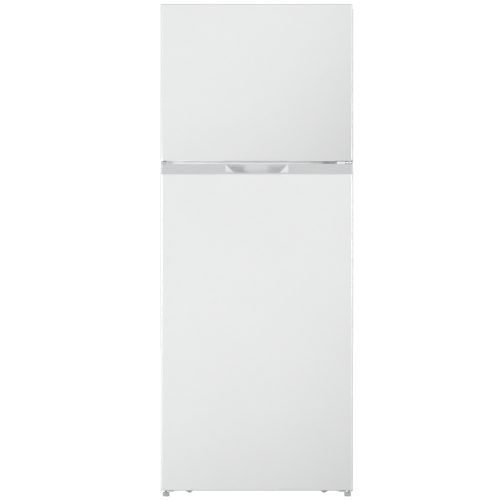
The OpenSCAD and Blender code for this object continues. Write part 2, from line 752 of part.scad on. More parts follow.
module top_hinge_cover() color(white) difference() {
  low = [206, cabinet_y0 + 2, cabinet_z1];
  high = [half_w - 0.5, -186, cabinet_z1 + hinge_cover_h];
  walls = [hinge_cover_t, hinge_cover_t, hinge_cover_t];
  box(low, high);
  box([low[0], low[1], cabinet_z1 - hinge_cover_t - eps] + walls, high - walls);
  box([hinge_x - arm_r - 0.5, cabinet_y0 + 1, cabinet_z1 - eps],
    [high[0] - hinge_cover_t, cabinet_y0 + 5, cabinet_z1 + plate_t + 0.5]);
}

module middle_hinge() color(steel) difference() {
  union() {
    translate([0, 0, mid_z - mid_plate_t / 2]) linear_extrude(mid_plate_t)
      hinge_plan(246, hinge_y - 4, cabinet_y0);
    box([mid_bracket_x0, cabinet_y0 - plate_t, mid_z - mid_bracket_h / 2],
      [hinge_x + arm_r, cabinet_y0, mid_z + mid_bracket_h / 2]);
    translate([hinge_x, hinge_y, mid_z - 21]) cylinder(r = pin_r, h = 42);
  }
  screw_set(0.1);
}

// A plate under the cabinet's front corner from x0 outwards, with two tabs folded down in front
module foot_bracket(x0) {
  under = cabinet_z0 - plate_t;
  box([x0, bracket_y[0], under], [hinge_x + arm_r, bracket_y[1], cabinet_z0]);
  translate([0, bracket_y[0] + tab_t, under]) rotate([90, 0, 0]) linear_extrude(tab_t) {
    polygon([[tab_x[0], 0.1], [tab_x[0] + 8, -tab_h], [tab_x[0] + 12, -tab_h], [tab_x[1], 0.1]]);
    polygon([[low_tab_x[0], 0.1], [low_tab_x[0] + 7, -low_tab_h], [low_tab_x[1] - 7, -low_tab_h],
      [low_tab_x[1], 0.1]]);
  }
}

// Threaded hole for a foot's stud
module stud_bore() {
  translate([foot_x, foot_y, cabinet_z0 - 5]) cylinder(r = stud_r + run, h = 8);
}

module bottom_hinge() color(steel) difference() {
  union() {
    foot_bracket(bracket_x0);
    translate([0, 0, cabinet_z0 - plate_t]) linear_extrude(plate_t) {
      translate([hinge_x - arm_r - 22, hinge_y]) square([2 * arm_r + 22, bracket_y[0] + 1 - hinge_y]);
      translate([hinge_x, hinge_y]) circle(arm_r);
    }
    translate([hinge_x, hinge_y, cabinet_z0 - plate_t]) cylinder(r = pin_r, h = 21);
  }
  stud_bore();
  screw_set(0.1);
}

module left_foot_bracket() color(steel) mirror([1, 0, 0]) difference() {
  foot_bracket(left_bracket_x0);
  stud_bore();
  screw_set(0.1);
}

module screws() color(steel) screw_set(0);

// ---------- feet and rollers ----------

module foot(side) {
  translate([side * foot_x, foot_y, 0]) {
    difference() {
      cylinder(r = foot_r, h = foot_h);
      for (a = [0 : 30 : 330]) rotate([0, 0, a]) translate([foot_r + 0.6, 0, 3])
        cylinder(r = 1.5, h = foot_h);
    }
    cylinder(r = stud_r, h = stud_top);
  }
}

module foot_right() color(light_grey) foot(1);

module foot_left() color(light_grey) foot(-1);

module roller(side) {
  translate([side * roller_x, roller_y, roller_r]) rotate([0, 90, 0]) difference() {
    union() {
      cylinder(r = roller_r, h = roller_w - 1, center = true);
      cylinder(r = axle_r + 3, h = roller_w, center = true);
    }
    cylinder(r = axle_r + run, h = roller_w + 2, center = true);
  }
}

module roller_right() color(dark_grey) roller(1);

module roller_left() color(dark_grey) roller(-1);

// Fork under the pan with the axle riveted into it
module roller_brackets() color(steel) for (s = [-1, 1]) translate([s * roller_x, roller_y, 0]) {
  box([-ear_x - 1, -16, cabinet_z0 - 1.5], [ear_x + 1, 16, cabinet_z0 - gap]);
  for (e = [-1, 1]) translate([e * ear_x, 0, 0]) box([-1, -12, 3], [1, 12, cabinet_z0 - 1]);
  translate([0, 0, roller_r]) rotate([0, 90, 0]) {
    cylinder(r = axle_r, h = 2 * ear_x + 3, center = true);
    for (e = [-1, 1]) translate([0, 0, e * (ear_x + 1.9)])
      cylinder(r = axle_r + 1.5, h = 2, center = true);
  }
}

// ---------- machine compartment ----------

comp_x = -130;
comp_y = machine_y + 98;
comp_r = 72;
comp_z = cabinet_z0 + pan_t + 14;
comp_h = 156;
comp_dome_r = 94;

module compressor() color(black) translate([comp_x, comp_y, comp_z]) {
  box([-92, -46, 0], [92, 46, 3]);
  intersection() {
    translate([0, 0, 2]) cylinder(r = comp_r, h = comp_h);
    translate([0, 0, 2 + comp_h / 2]) sphere(r = comp_dome_r, $fn = 64);
  }
  translate([0, 0, comp_h / 2]) cylinder(r = comp_r + 3, h = 6);
  for (a = [20, 60]) rotate([0, 0, a]) tube_x(comp_r - 6, comp_r + 16, 0, 40, 3);
}

module compressor_mounts() color(black)
  for (x = [-80, 80], y = [-36, 36])
    translate([comp_x + x, comp_y + y, cabinet_z0 + pan_t]) cylinder(r = 12, h = 14);

module relay_box() color(black)
  box([comp_x + comp_r + 4, comp_y - 30, comp_z + 64], [comp_x + comp_r + 36, comp_y + 30, comp_z + 120]);

module drain_pan() color(light_grey)
  tray([comp_x - 90, machine_y + 30, comp_z + comp_h + 3],
    [comp_x + 90, cabinet_y1 - 30, machine_z - 6], 2);

coil_x = [24, 262];
coil_rows = 6;
coil_pitch = 26;
coil_z0 = 60;

module condenser_coil() color(black) {
  plate_top = coil_z0 + (coil_rows - 1) * coil_pitch + 6;
  for (y = [40, 100, 150]) serpentine(coil_x, machine_y + y, coil_z0, coil_rows, coil_pitch, 3);
  for (x = [70, 150, 230])
    box([x - 1, machine_y + 34, cabinet_z0 + pan_t], [x + 1, machine_y + 156, plate_top]);
}

louvre_xs = [-230 : 115 : 230];
louvre_zs = [58 : 16 : 202];
louvre_x = 42;        // half width of a slot
louvre_h = 6;
gland_x = -262;
gland_z = 40;

// Rear cover with louvred slots and raised bars between them
module machine_cover() color(light_grey) difference() {
  union() {
    box([-half_w + 6, cabinet_y1, 30], [half_w - 6, cabinet_y1 + 2, machine_z + 4]);
    for (x = louvre_xs, z = louvre_zs)
      box([x - louvre_x, cabinet_y1 + 1, z + louvre_h], [x + louvre_x, rear_y, z + louvre_h + 2]);
  }
  for (x = louvre_xs, z = louvre_zs)
    box([x - louvre_x, cabinet_y1 - eps, z], [x + louvre_x, cabinet_y1 + 3, z + louvre_h]);
  translate([gland_x, cabinet_y1 - eps, gland_z]) rotate([-90, 0, 0]) cylinder(r = 8, h = 4);
  screw_set(0.1);
}

module cord_gland() color(black) translate([gland_x, cabinet_y1, gland_z]) rotate([-90, 0, 0])
  difference() {
    union() {
      translate([0, 0, 2 + gap]) cylinder(r = 10.5, h = 2.8);
      translate([0, 0, -2]) cylinder(r = 7.8, h = 5);
    }
    translate([0, 0, -3]) cylinder(r = 4, h = 9);
  }

cabinet_shell();
back_panel();
base_pan();
mullion_rail();
cabinet_foam();
freezer_liner();
fridge_liner();
evaporator_cover();
evaporator();
defrost_heater();
fan_motor();
fan_blade();
air_duct();
control_box();
control_knob();
lamp_lens();
freezer_shelf();
shelf_glasses();
shelf_trims();
crisper_cover_glass();
crisper_cover_frame();
crisper_drawer();
humidity_slider();
freezer_door_skin();
freezer_door_foam();
freezer_door_liner();
freezer_door_top_cap();
freezer_door_bottom_cap();
freezer_door_gasket();
freezer_bin_upper();
freezer_bin_lower();
freezer_door_plug();
fridge_door_skin();
fridge_door_foam();
fridge_door_liner();
fridge_door_top_cap();
fridge_door_bottom_cap();
fridge_door_gasket();
door_bin_upper();
door_bin_middle();
door_bin_bottle();
fridge_door_plug();
top_hinge();
top_hinge_cover();
middle_hinge();
bottom_hinge();
left_foot_bracket();
screws();
foot_right();
foot_left();
roller_right();
roller_left();
roller_brackets();
compressor();
compressor_mounts();
relay_box();
drain_pan();
condenser_coil();
machine_cover();
cord_gland();
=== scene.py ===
"""Looks of the top freezer refrigerator: materials, moulded parts, light and camera."""

import json
import math

import bmesh
import bpy
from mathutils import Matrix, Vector


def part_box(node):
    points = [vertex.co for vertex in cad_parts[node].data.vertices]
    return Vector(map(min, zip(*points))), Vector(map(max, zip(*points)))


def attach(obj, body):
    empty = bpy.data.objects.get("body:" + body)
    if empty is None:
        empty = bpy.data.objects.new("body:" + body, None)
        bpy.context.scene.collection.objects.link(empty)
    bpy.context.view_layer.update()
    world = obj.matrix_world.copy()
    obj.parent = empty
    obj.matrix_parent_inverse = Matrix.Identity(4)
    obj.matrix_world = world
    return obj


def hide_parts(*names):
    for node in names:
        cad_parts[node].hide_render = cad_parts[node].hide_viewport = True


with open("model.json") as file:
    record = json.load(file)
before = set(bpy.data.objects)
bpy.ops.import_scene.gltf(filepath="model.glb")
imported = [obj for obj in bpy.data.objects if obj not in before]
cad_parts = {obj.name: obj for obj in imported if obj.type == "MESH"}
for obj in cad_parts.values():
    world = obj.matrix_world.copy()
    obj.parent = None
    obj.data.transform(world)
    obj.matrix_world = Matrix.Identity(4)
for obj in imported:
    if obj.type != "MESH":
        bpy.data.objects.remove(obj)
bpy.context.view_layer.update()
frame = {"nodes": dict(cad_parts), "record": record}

MM = 0.001
nodes = frame["nodes"]


# ---------- places, from the frame ----------

def low(node):
    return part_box(node)[0]


def high(node):
    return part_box(node)[1]


FRONT_Y = low("fridge_door_skin").y
DOOR_BACK_Y = high("fridge_door_skin").y


# ---------- camera ----------

# The view is this wide at the doors; the object stands a little right of its middle
VIEW_W = 1555 * MM
CAMERA_D = 10.0
CAMERA_X = -21.459 * MM
CAMERA_Z = 772.524 * MM
SENSOR = 36.0


def add_camera():
    """A level camera, far in front of the doors."""
    data = bpy.data.cameras.new("camera")
    camera = bpy.data.objects.new("camera", data)
    bpy.context.scene.collection.objects.link(camera)
    camera.location = (CAMERA_X, FRONT_Y - CAMERA_D, CAMERA_Z)
    camera.rotation_euler = (math.radians(90), 0, 0)
    data.sensor_width = SENSOR
    data.lens = SENSOR * CAMERA_D / VIEW_W
    data.clip_end = 100
    bpy.context.scene.camera = camera


# ---------- node helpers for materials ----------

class Nodes:
    """A small builder for one material's node tree."""

    def __init__(self, name, colour, rough, metal=0.0):
        self.material = bpy.data.materials.new(name)
        self.material.use_nodes = True
        self.tree = self.material.node_tree
        self.shader = self.tree.nodes["Principled BSDF"]
        self.shader.inputs["Base Color"].default_value = (*colour, 1)
        self.shader.inputs["Roughness"].default_value = rough
        self.shader.inputs["Metallic"].default_value = metal
        self.place = self.add("ShaderNodeTexCoord").outputs["Object"]
        self.normal = None

    def add(self, kind, **values):
        node = self.tree.nodes.new(kind)
        for key, value in values.items():
            setattr(node, key, value)
        return node

    def link(self, a, b):
        self.tree.links.new(a, b)

    def stretched(self, scale):
        """Object coordinates scaled differently along each axis."""
        mapping = self.add("ShaderNodeMapping")
        mapping.inputs["Scale"].default_value = scale
        self.link(self.place, mapping.inputs["Vector"])
        return mapping.outputs["Vector"]

    def noise(self, scale, detail=3.0, place=None):
        node = self.add("ShaderNodeTexNoise")
        node.inputs["Scale"].default_value = scale
        node.inputs["Detail"].default_value = detail
        node.inputs["Roughness"].default_value = 0.55
        self.link(place or self.place, node.inputs["Vector"])
        return node.outputs["Fac"]

    def cells(self, scale):
        node = self.add("ShaderNodeTexVoronoi")
        node.inputs["Scale"].default_value = scale
        self.link(self.place, node.inputs["Vector"])
        return node

    def range(self, value, low_out, high_out, low_in=0.3, high_in=0.7):
        """Maps a value from one span to another."""
        node = self.add("ShaderNodeMapRange")
        node.inputs["From Min"].default_value = low_in
        node.inputs["From Max"].default_value = high_in
        node.inputs["To Min"].default_value = low_out
        node.inputs["To Max"].default_value = high_out
        self.link(value, node.inputs["Value"])
        return node.outputs["Result"]

    def vary_colour(self, value, dark, light):
        """A colour between two others, picked by a value."""
        ramp = self.add("ShaderNodeValToRGB")
        ramp.color_ramp.elements[0].position = 0.3
        ramp.color_ramp.elements[1].position = 0.7
        ramp.color_ramp.elements[0].color = (*dark, 1)
        ramp.color_ramp.elements[1].color = (*light, 1)
        self.link(value, ramp.inputs["Fac"])
        return ramp.outputs["Color"]

    def colour(self, output):
        self.link(output, self.shader.inputs["Base Color"])

    def roughness(self, output):
        self.link(output, self.shader.inputs["Roughness"])

    def bump(self, height, depth):
        """Adds a bump of a real depth in metres on top of those before it."""
        node = self.add("ShaderNodeBump")
        node.inputs["Strength"].default_value = 1.0
        node.inputs["Distance"].default_value = depth
        self.link(height, node.inputs["Height"])
        if self.normal is not None:
            self.link(self.normal, node.inputs["Normal"])
        self.normal = node.outputs["Normal"]
        self.link(self.normal, self.shader.inputs["Normal"])

    def worn_edges(self, base, worn, amount):
        """Mixes a worn colour in along convex edges, broken up by noise."""
        point = self.add("ShaderNodeNewGeometry").outputs["Pointiness"]
        edge = self.range(point, 0.0, amount, 0.52, 0.60)
        mix = self.add("ShaderNodeMix", data_type="RGBA")
        breakup = self.add("ShaderNodeMath", operation="MULTIPLY")
        self.link(edge, breakup.inputs[0])
        self.link(self.noise(60.0), breakup.inputs[1])
        self.link(breakup.outputs[0], mix.inputs["Factor"])
        self.link(base, mix.inputs["A"])
        mix.inputs["B"].default_value = (*worn, 1)
        self.colour(mix.outputs["Result"])


def shades(colour, spread):
    """A darker and a lighter version of a colour."""
    return tuple(c * (1 - spread) for c in colour), tuple(min(1.0, c * (1 + spread)) for c in colour)


def painted_steel(name, colour, rough=0.32):
    """Stoved enamel: faint orange peel, clear gloss on top, slightly uneven roughness."""
    n = Nodes(name, colour, rough)
    dark, light = shades(colour, 0.012)
    n.worn_edges(n.vary_colour(n.noise(3.0, 2.0), dark, light), [c * 0.9 for c in colour], 0.3)
    n.roughness(n.range(n.noise(22.0, 4.0), rough - 0.04, rough + 0.05))
    n.bump(n.noise(420.0, 2.0), 0.018 * MM)
    n.bump(n.noise(1800.0, 1.0), 0.004 * MM)
    n.shader.inputs["Coat Weight"].default_value = 0.25
    n.shader.inputs["Coat Roughness"].default_value = 0.12
    return n.material


def plastic(name, colour, rough, grain=0.012, spread=0.02):
    """Moulded plastic with a fine spark-eroded grain."""
    n = Nodes(name, colour, rough)
    dark, light = shades(colour, spread)
    worn = [min(1.0, c * 1.12 + 0.02) for c in colour]
    n.worn_edges(n.vary_colour(n.noise(9.0, 3.0), dark, light), worn, 0.35)
    n.roughness(n.range(n.noise(40.0, 4.0), rough - 0.05, rough + 0.07))
    n.bump(n.noise(2600.0, 2.0), grain * MM)
    return n.material


def rubber(name, colour):
    """Matt moulded rubber with a blotchy surface."""
    n = Nodes(name, colour, 0.7)
    dark, light = shades(colour, 0.05)
    n.colour(n.vary_colour(n.noise(14.0, 4.0), dark, light))
    n.roughness(n.range(n.noise(80.0, 3.0), 0.6, 0.8))
    n.bump(n.noise(1500.0, 2.0), 0.02 * MM)
    return n.material


def zinc_steel(name, colour, spangle=420.0, spread=0.035):
    """Skin-passed zinc: small crystal spangles and faint rolling lines."""
    n = Nodes(name, colour, 0.42, 0.85)
    crystal = n.add("ShaderNodeRGBToBW")
    n.link(n.cells(spangle).outputs["Color"], crystal.inputs["Color"])
    dark, light = shades(colour, spread)
    n.worn_edges(n.vary_colour(crystal.outputs["Val"], dark, light), [c * 1.15 for c in colour], 0.4)
    n.roughness(n.range(crystal.outputs["Val"], 0.36, 0.50))
    n.bump(n.noise(500.0, 2.0, place=n.stretched((1, 1, 0.05))), 0.012 * MM)
    return n.material


def glass(name, tint, edge):
    """Tempered shelf glass: clear through its faces, green through its ground edges."""
    n = Nodes(name, tint, 0.03)
    n.shader.inputs["Transmission Weight"].default_value = 1.0
    n.shader.inputs["IOR"].default_value = 1.5
    split = n.add("ShaderNodeSeparateXYZ")
    n.link(n.add("ShaderNodeNewGeometry").outputs["Normal"], split.inputs["Vector"])
    upright = n.add("ShaderNodeMath", operation="ABSOLUTE")
    n.link(split.outputs["Z"], upright.inputs[0])
    ground = n.range(upright.outputs[0], 1.0, 0.0, 0.2, 0.9)
    mix = n.add("ShaderNodeMix", data_type="RGBA")
    n.link(ground, mix.inputs["Factor"])
    mix.inputs["A"].default_value = (*tint, 1)
    mix.inputs["B"].default_value = (*edge, 1)
    n.colour(mix.outputs["Result"])
    n.roughness(n.range(ground, 0.03, 0.35, 0.0, 1.0))
    n.bump(n.noise(12.0, 1.0), 0.02 * MM)
    return n.material


def clear_plastic(name, tint, rough=0.10, clear=0.92):
    """Injection-moulded clear polystyrene with flow marks and fine handling scratches."""
    n = Nodes(name, tint, rough)
    n.shader.inputs["Transmission Weight"].default_value = clear
    n.shader.inputs["IOR"].default_value = 1.45
    n.roughness(n.range(n.noise(25.0, 4.0), rough - 0.04, rough + 0.08))
    n.bump(n.noise(40.0, 2.0, place=n.stretched((1, 1, 3))), 0.04 * MM)
    n.bump(n.noise(900.0, 2.0, place=n.stretched((1, 12, 1))), 0.004 * MM)
    return n.material


def glow(name, colour, strength):
    """The floor and the backdrop: pale, evenly bright."""
    n = Nodes(name, colour, 0.9)
    n.shader.inputs["Emission Color"].default_value = (1, 1, 1, 1)
    n.shader.inputs["Emission Strength"].default_value = strength
    return n.material


WHITE = (0.800, 0.803, 0.806)
LINER_WHITE = (0.80, 0.81, 0.82)
STRIP_GREY = (0.58, 0.583, 0.588)

looks = {
    "white_steel": painted_steel("white_enamel", WHITE),
    "zinc_steel": zinc_steel("zinc_sheet", (0.70, 0.71, 0.73)),
    "dark_steel": painted_steel("black_enamel", (0.02, 0.02, 0.022), 0.4),
    "insulation": plastic("foam", (0.80, 0.72, 0.45), 0.9, 0.2, 0.06),
    "white_plastic": plastic("liner_plastic", LINER_WHITE, 0.38, 0.002, 0.01),
    "grey_plastic": plastic("strip_plastic", STRIP_GREY, 0.45),
    "dark_plastic": plastic("dark_plastic", (0.035, 0.035, 0.038), 0.5, 0.015, 0.1),
    "clear_plastic": clear_plastic("bin_plastic", (0.87, 0.905, 0.92)),
    "lens": clear_plastic("lens_plastic", (0.96, 0.96, 0.94), 0.40, 0.8),
    "shelf_glass": glass("shelf_glass", (0.95, 0.985, 0.975), (0.35, 0.66, 0.55)),
    "seal": rubber("gasket_rubber", (0.60, 0.60, 0.61)),
    "black_rubber": rubber("black_rubber", (0.02, 0.02, 0.02)),
    "fins": zinc_steel("fin_sheet", (0.80, 0.81, 0.83), 900.0, 0.02),
    "copper": zinc_steel("copper_pipe", (0.80, 0.42, 0.28), 60.0, 0.08),
}


# Light passes these without the dark shadow that refraction alone would give
SEE_THROUGH = ("clear_plastic", "shelf_glass", "lens")

# ---------- mesh helpers ----------

def add_piece(name, shape, body, slot, stands_for=(), look=None, sharp=32):
    """Makes a shape's mesh, finishes it and hangs it on a body."""
    mesh = shape.mesh(name)
    tidy = bmesh.new()
    tidy.from_mesh(mesh)
    bmesh.ops.remove_doubles(tidy, verts=tidy.verts, dist=1e-7)
    bmesh.ops.recalc_face_normals(tidy, faces=tidy.faces)
    tidy.to_mesh(mesh)
    tidy.free()
    mesh.polygons.foreach_set("use_smooth", [True] * len(mesh.polygons))
    mesh.set_sharp_from_angle(angle=math.radians(sharp))
    mesh.materials.append(look or looks[slot])
    piece = bpy.data.objects.new(name, mesh)
    bpy.context.scene.collection.objects.link(piece)
    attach(piece, body)
    if stands_for:
        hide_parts(*stands_for)
    piece.visible_shadow = slot not in SEE_THROUGH
    return piece


def rounded_ring(u0, u1, v0, v1, r, steps=6):
    """Corner points of a rounded rectangle, counter-clockwise."""
    r = min(r, (u1 - u0) / 2 - 1e-5, (v1 - v0) / 2 - 1e-5)
    corners = [(u1 - r, v0 + r, -90), (u1 - r, v1 - r, 0), (u0 + r, v1 - r, 90), (u0 + r, v0 + r, 180)]
    points = []
    for cu, cv, start in corners:
        for i in range(steps + 1):
            a = math.radians(start + 90 * i / steps)
            points.append((cu + r * math.cos(a), cv + r * math.sin(a)))
    return points


def level_ring(low_corner, high_corner, inset, z, r, steps=6):
    """A rounded rectangle in the XY plane, inset from a box."""
    return [(x, y, z) for x, y in rounded_ring(low_corner.x + inset, high_corner.x - inset,
                                               low_corner.y + inset, high_corner.y - inset, r, steps)]


class Shape:
    """Collects closed shells that become one mesh."""

    def __init__(self):
        self.verts = []
        self.faces = []

    def loft(self, rings, closed=False):
        """Joins rings of the same number of points; open lofts get a cap at each end."""
        start = len(self.verts)
        count = len(rings[0])
        for ring in rings:
            self.verts.extend(ring)
        pairs = [(i, i + 1) for i in range(len(rings) - 1)]
        if closed:
            pairs.append((len(rings) - 1, 0))
        for a, b in pairs:
            for k in range(count):
                k2 = (k + 1) % count
                self.faces.append([start + a * count + k, start + a * count + k2,
                                   start + b * count + k2, start + b * count + k])
        if not closed:
            self.faces.append([start + k for k in range(count)][::-1])
            self.faces.append([start + (len(rings) - 1) * count + k for k in range(count)])

    def block(self, a, b, r):
        """A box between two corners with all its edges rounded."""
        a, b = Vector(a), Vector(b)
        r = min(r, *[(b[i] - a[i]) / 2.01 for i in range(3)])
        rings = []
        for i in range(4):
            t = math.radians(30 * i)
            rings.append((r * (1 - math.sin(t)), a.z + r * (1 - math.cos(t))))
        rings += [(inset, b.z - (z - a.z)) for inset, z in reversed(rings)]
        self.loft([level_ring(a, b, i, z, max(r - i, 1e-4), 3) for i, z in rings])

    def lathe(self, centre, axis, profile, steps, wave=None, closed=False):
        """Turns (radius, distance) points round an axis; wave(angle, radius, distance) scales the radius."""
        turn = Vector((0, 0, 1)).rotation_difference(Vector(axis)).to_matrix()
        rings = []
        for r, h in profile:
            ring = []
            for k in range(steps):
                a = 2 * math.pi * k / steps
                wide = r * (wave(a, r, h) if wave else 1.0)
                point = Vector((wide * math.cos(a), wide * math.sin(a), h))
                ring.append(tuple(turn @ point + Vector(centre)))
            rings.append(ring)
        self.loft(rings, closed)

    def tub(self, a, b, wall, draft, r):
        """An open-topped moulded tub: drafted walls, rounded floor edges and a thickened, rounded rim."""
        a, b = Vector(a), Vector(b)
        rim = 1.4 * wall
        outside = [(draft + 3.5 * MM, a.z), (draft + 1.0 * MM, a.z + 1.0 * MM), (draft, a.z + 3.5 * MM),
                   (0.25 * draft + rim - wall, b.z - 9 * MM), (0, b.z - 8 * MM), (0, b.z - 0.8 * MM),
                   (0.8 * MM, b.z)]
        inside = [(rim - 0.6 * MM, b.z), (rim, b.z - 0.8 * MM), (0.25 * draft + rim, b.z - 9 * MM),
                  (draft + wall, a.z + wall + 4 * MM), (draft + wall + 1.2 * MM, a.z + wall + 1.2 * MM),
                  (draft + wall + 4 * MM, a.z + wall)]
        self.loft([level_ring(a, b, i, z, max(r - 0.5 * i, MM)) for i, z in outside + inside])

    def prism(self, outline, x0, x1, r):
        """An outline of (y, z) points drawn out along X, its two ends eased by r."""
        cy = sum(y for y, z in outline) / len(outline)
        cz = sum(z for y, z in outline) / len(outline)
        rings = []
        for x, inset in ((x0, r), (x0 + r, 0), (x1 - r, 0), (x1, r)):
            ring = []
            for y, z in outline:
                away = Vector((y - cy, z - cz))
                away *= max(0.0, 1 - inset / max(away.length, 1e-6))
                ring.append((x, cy + away.x, cz + away.y))
            rings.append(ring)
        self.loft(rings)

    def tube(self, points, r, steps):
        """A round tube through points, with flat ends."""
        points = [Vector(p) for p in points]
        side = None
        rings = []
        for i, p in enumerate(points):
            ahead = (points[min(i + 1, len(points) - 1)] - points[max(i - 1, 0)]).normalized()
            if side is None:
                side = ahead.orthogonal().normalized()
            side = (side - ahead * side.dot(ahead)).normalized()
            up = ahead.cross(side)
            rings.append([tuple(p + r * (math.cos(a) * side + math.sin(a) * up))
                          for a in (2 * math.pi * k / steps for k in range(steps))])
        self.loft(rings)

    def mesh(self, name):
        """The collected shells as one mesh."""
        data = bpy.data.meshes.new(name)
        data.from_pydata(self.verts, [], self.faces)
        return data


# ---------- doors ----------

def upright_ring(low_corner, high_corner, inset, y, r):
    """A rounded rectangle in the XZ plane, inset from a node's box."""
    return [(x, y, z) for x, z in rounded_ring(low_corner.x + inset, high_corner.x - inset,
                                               low_corner.z + inset, high_corner.z - inset, r, 8)]


def add_gasket(node, body):
    """Magnetic seal: a barbed foot, a folding bellows and a flat magnet pocket, mitred round the corners."""
    a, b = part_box(node)
    profile = [(0.5, 0), (0, 1.2), (2.5, 3.2), (2.8, 4.6), (0.6, 6.4), (0, 8.0), (0, 10.4), (1.0, 11.6),
               (13.0, 11.6), (14.0, 10.4), (14.0, 8.2), (12.0, 6.6), (11.6, 4.8), (13.0, 3.0), (13.6, 1.2),
               (13.2, 0)]
    shape = Shape()
    rings = [upright_ring(a, b, i * MM, a.y + d * MM, (8 - 0.45 * i) * MM) for i, d in profile]
    shape.loft(rings, closed=True)
    add_piece(node + "_bellows", shape, body, "seal", (node,), sharp=50)


DYKE_X = 236 * MM
DYKE_W = 28 * MM
DYKE_R = 22 * MM
SHEET = 2.0 * MM
BOSS_W = 3.6 * MM
EAR_H = 40 * MM


def dyke_path(t, r):
    """(inset from the dyke's outer edge, height above the panel) from the middle out to the flange."""
    top = DYKE_TOP - t
    w = DYKE_W
    return [(w - t + r, -t), (w - t + 0.3 * r, 0.3 * r - t), (w - t, r - t),
            (w - t - MM, top - r), (w - t - MM - 0.3 * r, top - 0.3 * r), (w - t - MM - r, top),
            (t + MM + r, top), (t + MM + 0.3 * r, top - 0.3 * r), (t + MM, top - r),
            (t, r - t), (t - 0.3 * r, 0.3 * r - t), (t - r, -t)]


def add_door_liner(node, dyke_z, body, bins):
    """Vacuum-formed inner panel in one sheet: flange, filleted dykes that hold the bins, and their bosses."""
    a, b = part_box(node)
    dyke_low = Vector((-DYKE_X, 0, dyke_z[0]))
    dyke_high = Vector((DYKE_X, 0, dyke_z[1]))

    def dyke_rings(t, r):
        return [upright_ring(dyke_low, dyke_high, i, DOOR_BACK_Y + h, max(DYKE_R - 0.3 * i, 2 * MM))
                for i, h in dyke_path(t, r)]

    edge = [(1.2 * MM, 0), (0.3 * MM, 0.3 * MM), (0, MM), (0, SHEET - 0.2 * MM), (0.3 * MM, SHEET)]
    flange = [upright_ring(a, b, i, DOOR_BACK_Y - d, 5 * MM) for i, d in edge]
    shape = Shape()
    shape.loft(dyke_rings(0, 4 * MM) + flange + dyke_rings(SHEET, 2.5 * MM)[::-1])
    for name in bins:
        bin_low = low(name)
        for side in (-1, 1):
            x = side * (DYKE_X - DYKE_W - 3.4 * MM)
            shape.block((x - BOSS_W, bin_low.y + 8 * MM, bin_low.z + EAR_H - 12 * MM),
                        (x + BOSS_W, bin_low.y + 60 * MM, bin_low.z + EAR_H - 0.2 * MM), 1.5 * MM)
    add_piece(node + "_formed", shape, body, "white_plastic", (node,), sharp=50)


BIN_WALL = 2.2 * MM
BIN_EAR = 5.9 * MM


def add_bin(node, body):
    """Door bin: drafted tub with a rolled rim, ribs on its front and two hooks over the dyke's bosses."""
    a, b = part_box(node)
    shape = Shape()
    shape.tub((a.x + BIN_EAR, a.y, a.z), (b.x - BIN_EAR, b.y, b.z), BIN_WALL, 3 * MM, 12 * MM)
    for x0, x1 in ((a.x, a.x + BIN_EAR + 1.5 * MM), (b.x - BIN_EAR - 1.5 * MM, b.x)):
        shape.block((x0, a.y + 8 * MM, a.z + EAR_H), (x1, a.y + 60 * MM, b.z - 6 * MM), 1.4 * MM)
    for row in range(3):
        z = a.z + (18 + 9 * row) * MM
        shape.block((a.x + 40 * MM, b.y - 2.8 * MM, z), (b.x - 40 * MM, b.y - 0.7 * MM, z + 3 * MM), MM)
    add_piece(node + "_moulded", shape, body, "clear_plastic", (node,), sharp=40)


DYKE_TOP = high("fridge_door_liner").y - DOOR_BACK_Y
FRIDGE_BINS = ("door_bin_bottle", "door_bin_middle", "door_bin_upper")
FREEZER_BINS = ("freezer_bin_lower", "freezer_bin_upper")


def add_doors():
    add_gasket("freezer_door_gasket", "freezer_door")
    add_gasket("fridge_door_gasket", "fridge_door")
    # the dykes start this far inside the flange's lower and upper edge
    freezer = (low("freezer_door_liner").z + 51 * MM, high("freezer_door_liner").z - 71 * MM)
    fridge = (low("fridge_door_liner").z + 62 * MM, high("fridge_door_liner").z - 93 * MM)
    add_door_liner("freezer_door_liner", freezer, "freezer_door", FREEZER_BINS)
    add_door_liner("fridge_door_liner", fridge, "fridge_door", FRIDGE_BINS)
    for name in FREEZER_BINS:
        add_bin(name, "freezer_door")
    for name in FRIDGE_BINS:
        add_bin(name, "fridge_door")


# ---------- inside the cabinet ----------

def add_crisper():
    """Crisper: drafted tub with a hooked grip along its front rim and moulded ribs on its floor."""
    a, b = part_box("crisper_drawer")
    face = a.y + 7 * MM
    shape = Shape()
    shape.tub((a.x, face, a.z), (b.x, b.y, b.z), 2.5 * MM, 6 * MM, 16 * MM)
    grip = [(a.y, b.z - 16 * MM), (a.y, b.z - 2 * MM), (a.y + 2 * MM, b.z), (face + 2 * MM, b.z),
            (face + 2 * MM, b.z - 2.6 * MM), (a.y + 3 * MM, b.z - 3.4 * MM), (a.y + 2.2 * MM, b.z - 5 * MM),
            (a.y + 1.9 * MM, b.z - 16 * MM)]
    shape.prism(grip, a.x + 12 * MM, b.x - 12 * MM, 0)
    for i in range(7):
        x = (i - 3) * 55 * MM
        shape.block((x - 1.2 * MM, face + 26 * MM, a.z + 2 * MM),
                    (x + 1.2 * MM, b.y - 26 * MM, a.z + 4 * MM), 0.8 * MM)
    add_piece("crisper_moulded", shape, "crisper", "clear_plastic", ("crisper_drawer",), sharp=40)


